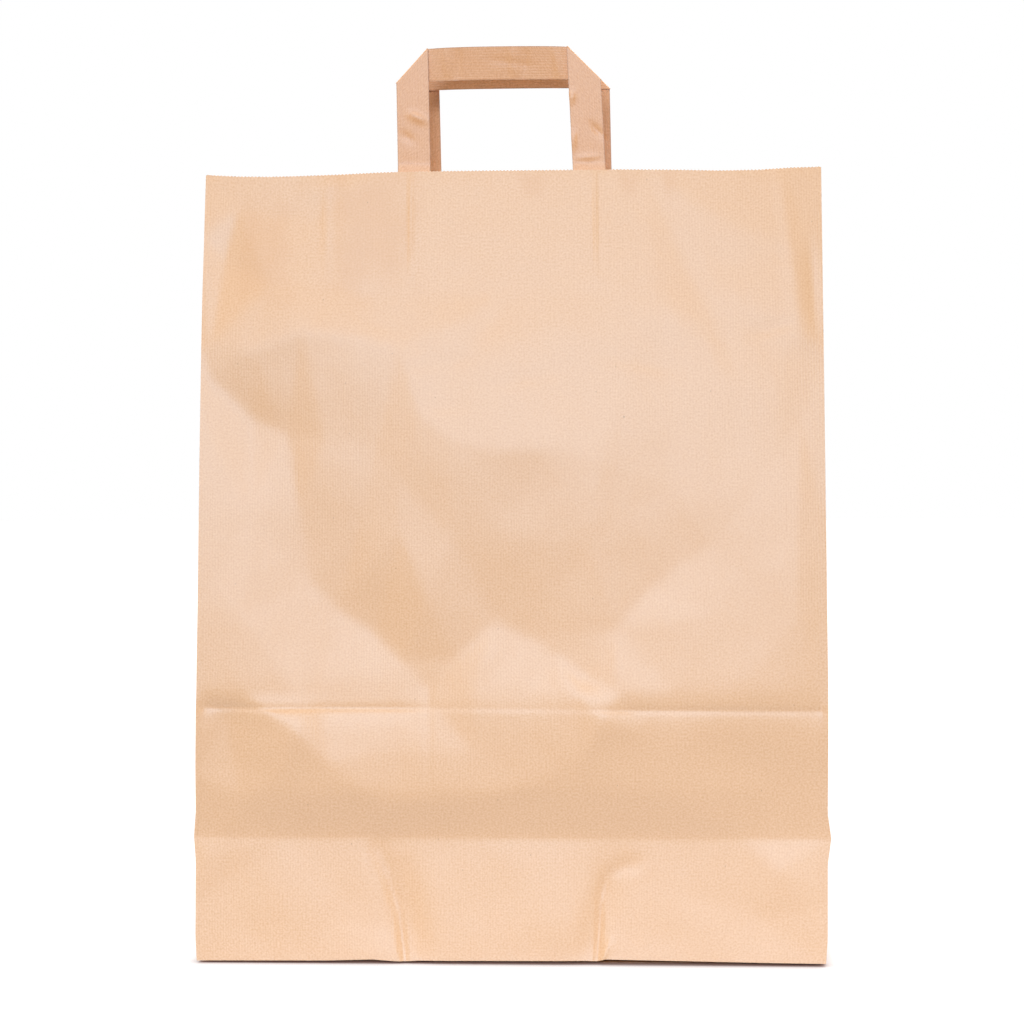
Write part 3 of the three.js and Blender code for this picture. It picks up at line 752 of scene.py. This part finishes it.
def kraft(name, pale, deep, speck, grain, ribs, stains=(), folded_at=None, on_sheet=True):
    """Brown kraft paper, rolled with fine ribs along the sheet: cloudy pulp, matted fibres and a few specks.

    grain and ribs are how far fibres and ribs shift the tone. folded_at is the half width of a folded
    strip, whose edges get painted shade in the speck colour. A solid without a place on a sheet uses its own
    x and z.
    """
    material = bpy.data.materials.new(name)
    material.use_nodes = True
    tree = material.node_tree
    tree.nodes.clear()
    if on_sheet:
        place = put(tree, "ShaderNodeUVMap", uv_map="Sheet").outputs["UV"]
    else:
        solid = put(tree, "ShaderNodeTexCoord").outputs["Object"]
        solid = put(tree, "ShaderNodeSeparateXYZ", {0: solid}).outputs
        place = put(tree, "ShaderNodeCombineXYZ", {0: solid["X"], 1: solid["Z"]}).outputs[0]
    across = put(tree, "ShaderNodeSeparateXYZ", {0: place}).outputs["X"]

    pulp = {}
    for pattern, (width, length, detail, layer) in PULP.items():
        scale = (1 / (width * MM), 1 / (length * MM), 1)
        where = put(tree, "ShaderNodeMapping", {"Vector": place, "Location": (0, 0, layer), "Scale": scale})
        inputs = {"Vector": where.outputs[0], "Scale": 1.0, "Detail": detail, "Roughness": PULP_BREAK_UP}
        pulp[pattern] = put(tree, "ShaderNodeTexNoise", inputs).outputs["Fac"]
    sway = put(tree, "ShaderNodeMath", {0: pulp["sway"], 1: RIB_SWAY}, operation="MULTIPLY").outputs[0]
    turns = {0: across, 1: 2 * math.pi / (RIB_PITCH * MM), 2: sway}
    phase = put(tree, "ShaderNodeMath", turns, operation="MULTIPLY_ADD").outputs[0]
    rib = put(tree, "ShaderNodeMath", {0: phase}, operation="SINE").outputs[0]

    # Plain paper is half way from deep to pale, and each pattern moves it both ways.
    tone = 0.5 - (STREAK_TONE + grain + CLOUD_TONE) / 2
    tones = ((rib, ribs), (pulp["streak"], STREAK_TONE), (pulp["fibre"], grain), (pulp["cloud"], CLOUD_TONE))
    for pattern, shift in tones:
        inputs = {0: pattern, 1: shift, 2: tone}
        tone = put(tree, "ShaderNodeMath", inputs, operation="MULTIPLY_ADD").outputs[0]

    # What lies over the plain paper, as its share and its colour
    layers = []
    for x, z, half_wide, half_high, strength in stains:
        scale = (1 / (half_wide * MM), 1 / (half_high * MM), 0)
        middle = (-x / half_wide, -z / half_high, 0)
        apart = put(tree, "ShaderNodeMapping", {"Vector": place, "Location": middle, "Scale": scale})
        apart = put(tree, "ShaderNodeVectorMath", {0: apart.outputs[0]}, operation="ABSOLUTE")
        apart = put(tree, "ShaderNodeSeparateXYZ", {0: apart.outputs[0]}).outputs
        reach = put(tree, "ShaderNodeMath", {0: apart["X"], 1: apart["Y"]}, operation="MAXIMUM").outputs[0]
        inputs = {0: pulp["cloud"], 1: SOAK_RAGGED, 2: reach}
        ragged = put(tree, "ShaderNodeMath", inputs, operation="MULTIPLY_ADD")
        soaked = {0: ragged.outputs[0], 1: SOAK_END, 2: SOAK_START, 3: 0.0, 4: strength}
        layers.append((put(tree, "ShaderNodeMapRange", soaked).outputs[0], SOAKED_KRAFT))
    # Painted shade along the folded edges of a strip, in the speck colour
    if folded_at:
        aside = put(tree, "ShaderNodeMath", {0: across}, operation="ABSOLUTE").outputs[0]
        edge_shade = {0: aside, 1: (folded_at - EDGE_WIDTH) * MM, 2: folded_at * MM, 3: 0.0, 4: EDGE_SHARE}
        layers.append((put(tree, "ShaderNodeMapRange", edge_shade).outputs[0], speck))
    spots = {0: pulp["speck"], 1: SPECK_FROM, 2: SPECK_FULL, 3: 0.0, 4: SPECK_SHARE}
    layers.append((put(tree, "ShaderNodeMapRange", spots).outputs[0], speck))
    colour = linear(deep)
    for share, over in [(tone, pale), *layers]:
        inputs = {"Factor": share, 6: colour, 7: linear(over)}
        colour = put(tree, "ShaderNodeMix", inputs, data_type="RGBA").outputs[2]

    height = 0.0
    for pattern, rise in (
        (rib, RIB_HEIGHT), (pulp["fibre"], FIBRE_HEIGHT * grain), (pulp["streak"], STREAK_HEIGHT),
        (pulp["crinkle"], CRINKLE_HEIGHT), (pulp["pucker"], PUCKER_HEIGHT),
    ):
        inputs = {0: pattern, 1: rise, 2: height}
        height = put(tree, "ShaderNodeMath", inputs, operation="MULTIPLY_ADD").outputs[0]
    bump = put(tree, "ShaderNodeBump", {"Strength": 1.0, "Distance": MM, "Height": height})
    inputs = {0: pulp["fibre"], 1: ROUGH_BY_FIBRE, 2: ROUGH_LEAST}
    rough = put(tree, "ShaderNodeMath", inputs, operation="MULTIPLY_ADD")
    shader = put(tree, "ShaderNodeBsdfPrincipled", {
        "Base Color": colour, "Roughness": rough.outputs[0], "Normal": bump.outputs[0],
        "IOR": KRAFT_IOR, "Specular Tint": linear(KRAFT_SHINE),
    })
    put(tree, "ShaderNodeOutputMaterial", {"Surface": shader.outputs[0]})
    return material


# The bag's own sheet, thin ribbed kraft: pale and even, with a fine grain, a cool sheen where a facet
# faces the light, and orange marks where paste has soaked in
bag_kraft = kraft(
    "ribbed kraft paper", pale="#f3caa1", deep="#e7b889", speck="#b08059", grain=2.8, ribs=0.04,
    stains=PASTE_MARKS,
)

# Straps of several plies folded flat: deeper and more orange, with ribs that can be seen and painted shade
# along their folded edges
strap_kraft = kraft(
    "folded kraft strap", pale="#f4be8b", deep="#e3a66e", speck="#a5744c", grain=2.8, ribs=0.085,
    folded_at=STRAP / 2,
)

# Patches over the straps' legs, of a plainer kraft: between the other two in tone, with less grain
patch_kraft = kraft(
    "kraft patch", pale="#f0c69c", deep="#e2b080", speck="#b08059", grain=1.4, ribs=0.03, on_sheet=False,
)


def pinking():
    """Cuts teeth along an edge whose vertices carry their run along it."""
    tree = bpy.data.node_groups.new("pinked rim", "GeometryNodeTree")
    for name, kind in (
        ("Sheet", "NodeSocketGeometry"), ("Pitch", "NodeSocketFloat"), ("Depth", "NodeSocketFloat"),
        ("Paper", "NodeSocketMaterial"),
    ):
        tree.interface.new_socket(name, in_out="INPUT", socket_type=kind)
    tree.interface.new_socket("Sheet", in_out="OUTPUT", socket_type="NodeSocketGeometry")
    given = put(tree, "NodeGroupInput").outputs
    run = put(tree, "GeometryNodeInputNamedAttribute", {"Name": "rim_run"}, data_type="FLOAT")
    run = run.outputs["Attribute"]
    on_rim = put(tree, "FunctionNodeCompare", {0: run, 1: OFF_RIM / 2}, operation="GREATER_THAN").outputs[0]
    flank = put(tree, "ShaderNodeMath", {0: given["Pitch"], 1: 0.5}, operation="MULTIPLY").outputs[0]
    flanks = put(tree, "ShaderNodeMath", {0: run, 1: flank}, operation="DIVIDE").outputs[0]
    wave = put(tree, "ShaderNodeMath", {0: flanks, 1: 1.0}, operation="PINGPONG").outputs[0]
    below = put(tree, "ShaderNodeMath", {0: wave, 1: 1.0}, operation="SUBTRACT").outputs[0]
    drop = put(tree, "ShaderNodeMath", {0: below, 1: given["Depth"]}, operation="MULTIPLY").outputs[0]
    offset = put(tree, "ShaderNodeCombineXYZ", {2: drop}).outputs[0]
    moved = {"Geometry": given["Sheet"], "Selection": on_rim, "Offset": offset}
    cut = put(tree, "GeometryNodeSetPosition", moved)
    real = put(tree, "GeometryNodeRealizeInstances", {0: cut.outputs[0]})
    painted = put(tree, "GeometryNodeSetMaterial", {"Geometry": real.outputs[0], "Material": given["Paper"]})
    put(tree, "NodeGroupOutput", {0: painted.outputs[0]})
    return tree


def pinked(mesh):
    """The mesh with its rim cut, as a mesh of its own."""
    holder = bpy.data.objects.new("uncut bag", mesh)
    bpy.context.scene.collection.objects.link(holder)
    tree = pinking()
    cutter = holder.modifiers.new("pinked rim", "NODES")
    cutter.node_group = tree
    sockets = {s.name: s.identifier for s in tree.interface.items_tree if s.in_out == "INPUT"}
    cutter[sockets["Pitch"]] = TOOTH_PITCH * MM
    cutter[sockets["Depth"]] = TOOTH_DEPTH * MM
    cutter[sockets["Paper"]] = bag_kraft
    graph = bpy.context.evaluated_depsgraph_get()
    cut = holder.evaluated_get(graph)
    made = bpy.data.meshes.new_from_object(cut, preserve_all_data_layers=True, depsgraph=graph)
    holder.modifiers.clear()
    bpy.data.objects.remove(holder)
    return made


def piece(name, mesh, material, node, turned=False):
    """Puts a finished mesh into the scene in the place of a CAD node."""
    if turned:
        mesh.transform(Matrix.Rotation(math.pi, 4, "Z"))
    mesh.materials.clear()
    mesh.materials.append(material)
    mesh.polygons.foreach_set("use_smooth", [True] * len(mesh.polygons))
    mesh.set_sharp_from_angle(angle=math.radians(SHARP_FOLD))
    made = bpy.data.objects.new(name, mesh)
    bpy.context.scene.collection.objects.link(made)
    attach(made, "root")
    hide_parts(node)


piece("bag", pinked(bag_mesh()), bag_kraft, "bag_body")
piece("front_handle", strap_mesh("handle_front", FRONT_HANDLE), strap_kraft, "handle_front")
strap = strap_mesh("handle_back", BACK_HANDLE)
piece("back_handle", strap, strap_kraft, "handle_back", turned=True)
for name in ("patch_front", "patch_back"):
    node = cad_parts[name]
    node.data.materials.clear()
    node.data.materials.append(patch_kraft)


def seen_rays(tree):
    """1 for rays that show a surface to the eye, straight or in a shine, and 0 for those that carry light."""
    path = put(tree, "ShaderNodeLightPath").outputs
    shown = path["Is Camera Ray"]
    for kind in ("Is Glossy Ray", "Is Transmission Ray"):
        shown = put(tree, "ShaderNodeMath", {0: shown, 1: path[kind]}, operation="MAXIMUM").outputs[0]
    return shown


# Where the floor starts and ends its change to plain white, and the reach of the contact shadow, which is
# painted from ambient occlusion
FLOOR_NEAR, FLOOR_FAR = 300.0, 600.0
SHADOW_REACH = 9.0
FLOOR_HALF = 6000.0

# How white the floor looks near the bag outside the painted contact shadow, and how bright the surroundings
# are as a light
FLOOR_WHITE = 0.9
AMBIENT_LEVEL = 0.43


def studio_floor():
    """Matt white card: its glow is dimmed into a narrow painted contact shadow over its real shade, it runs
    out to plain white and throws cool light up.
    """
    paint = bpy.data.materials.new("white studio floor")
    paint.use_nodes = True
    tree = paint.node_tree
    tree.nodes.clear()
    seen = seen_rays(tree)
    place = put(tree, "ShaderNodeTexCoord").outputs["Object"]
    away = put(tree, "ShaderNodeVectorMath", {0: place}, operation="LENGTH").outputs["Value"]
    reach = {0: away, 1: FLOOR_NEAR * MM, 2: FLOOR_FAR * MM}
    far = put(tree, "ShaderNodeMapRange", reach, interpolation_type="SMOOTHSTEP").outputs[0]
    # Ambient occlusion dims the white glow near the bag, which paints the contact shadow over the card's real
    # shade.
    open_air = put(tree, "ShaderNodeAmbientOcclusion", {"Distance": SHADOW_REACH * MM}, samples=8)
    open_air = open_air.outputs["AO"]
    white = put(tree, "ShaderNodeMath", {0: open_air, 1: FLOOR_WHITE}, operation="MULTIPLY").outputs[0]
    white = put(tree, "ShaderNodeMath", {0: white, 1: far}, operation="MAXIMUM").outputs[0]
    glow = put(tree, "ShaderNodeMath", {0: white, 1: seen}, operation="MULTIPLY").outputs[0]
    # As a light the card is cool near the bag and dark far off. To the eye it is painted red-brown in the
    # contact shadow, for light that would come through or off the paper.
    shades = []
    for share, first, last in ((far, "#bccce6", "#303030"), (open_air, "#a8705e", "#7c7c7c")):
        inputs = {"Factor": share, 6: linear(first), 7: linear(last)}
        shades.append(put(tree, "ShaderNodeMix", inputs, data_type="RGBA").outputs[2])
    inputs = {"Factor": seen, 6: shades[0], 7: shades[1]}
    shade = put(tree, "ShaderNodeMix", inputs, data_type="RGBA").outputs[2]
    card = put(tree, "ShaderNodeBsdfDiffuse", {"Color": shade}).outputs[0]
    lit = put(tree, "ShaderNodeEmission", {"Color": linear("#ffffff"), "Strength": glow}).outputs[0]
    both = put(tree, "ShaderNodeAddShader", {0: card, 1: lit}).outputs[0]
    put(tree, "ShaderNodeOutputMaterial", {"Surface": both})
    half = FLOOR_HALF * MM
    corners = [(-half, -half, 0), (half, -half, 0), (half, half, 0), (-half, half, 0)]
    ground = bpy.data.meshes.new("studio_floor")
    ground.from_pydata(corners, [], [(0, 1, 2, 3)])
    ground.materials.append(paint)
    floor = bpy.data.objects.new("studio_floor", ground)
    bpy.context.scene.collection.objects.link(floor)
    return floor


def white_studio():
    """White surroundings, dimmer as a light than as a background."""
    world = bpy.data.worlds.new("white studio")
    world.use_nodes = True
    tree = world.node_tree
    tree.nodes.clear()
    shells = []
    for colour, level in (("#ffeedb", AMBIENT_LEVEL), ("#ffffff", 1.0)):
        inputs = {"Color": linear(colour), "Strength": level}
        shells.append(put(tree, "ShaderNodeBackground", inputs).outputs[0])
    both = put(tree, "ShaderNodeMixShader", {0: seen_rays(tree), 1: shells[0], 2: shells[1]}).outputs[0]
    put(tree, "ShaderNodeOutputWorld", {"Surface": both})
    return world


floor = studio_floor()
bpy.context.scene.world = white_studio()


# Where the softboxes are aimed, in metres
BAG_MIDDLE = Vector((0, 0, 0.25))


def softbox(name, azimuth, elevation, distance, size, level, colour):
    """A softbox of some width and height, aimed at the bag. Its angles are degrees and its lengths metres.

    level is how bright it makes white paper that faces it.
    """
    a, e = math.radians(azimuth), math.radians(elevation)
    toward = Vector((math.sin(a) * math.cos(e), -math.cos(a) * math.cos(e), math.sin(e)))
    data = bpy.data.lights.new(name, "AREA")
    data.shape = "RECTANGLE"
    data.size, data.size_y = size
    data.energy = level * math.pi**2 * distance**2
    data.color = linear(colour)[:3]
    lamp = bpy.data.objects.new(name, data)
    lamp.location = BAG_MIDDLE + toward * distance
    lamp.rotation_euler = toward.to_track_quat("Z", "Y").to_euler()
    bpy.context.scene.collection.objects.link(lamp)


softbox("key softbox", -3, 18.5, 6.0, (3.2, 1.1), 0.52, "#fffdfa")
softbox("overhead softbox", -8, 80, 3.0, (1.2, 1.2), 0.42, "#eaf2ff")
softbox("low fill softbox", 3, 2, 2.2, (1.0, 0.4), 0.06, "#dce8ff")
softbox("left softbox", -96, 16, 4.0, (1.8, 1.6), 0.32, "#fffdfa")
softbox("right softbox", 96, 16, 4.0, (1.8, 1.6), 0.16, "#fffdfa")
softbox("back softbox", 138, 28, 4.0, (1.5, 1.1), 0.64, "#fffdfa")

# Camera, a long lens a little to the right of the bag. Its focal length is given in pixels of a picture
# that is as wide as PICTURE_WIDTH.
CAMERA_PLACE = (85.8, -1497.4, 305.1)
CAMERA_AZIMUTH, CAMERA_PITCH, CAMERA_ROLL = math.radians(3.35), math.radians(-2.14), math.radians(-0.3)
FOCAL_LENGTH, PICTURE_WIDTH = 2594, 1024
flat = math.cos(CAMERA_PITCH)
aim = Vector((-math.sin(CAMERA_AZIMUTH) * flat, math.cos(CAMERA_AZIMUTH) * flat, math.sin(CAMERA_PITCH)))
lens = bpy.data.cameras.new("camera")
lens.sensor_width = 36.0
lens.lens = FOCAL_LENGTH / PICTURE_WIDTH * lens.sensor_width
lens.clip_end = 50.0
camera = bpy.data.objects.new("camera", lens)
camera.location = Vector(CAMERA_PLACE) * MM
turn = aim.to_track_quat("-Z", "Y").to_matrix() @ Matrix.Rotation(CAMERA_ROLL, 3, "Z")
camera.rotation_euler = turn.to_euler()
bpy.context.scene.collection.objects.link(camera)
bpy.context.scene.camera = camera
bpy.context.scene.view_settings.view_transform = "Standard"

bpy.context.view_layer.update()
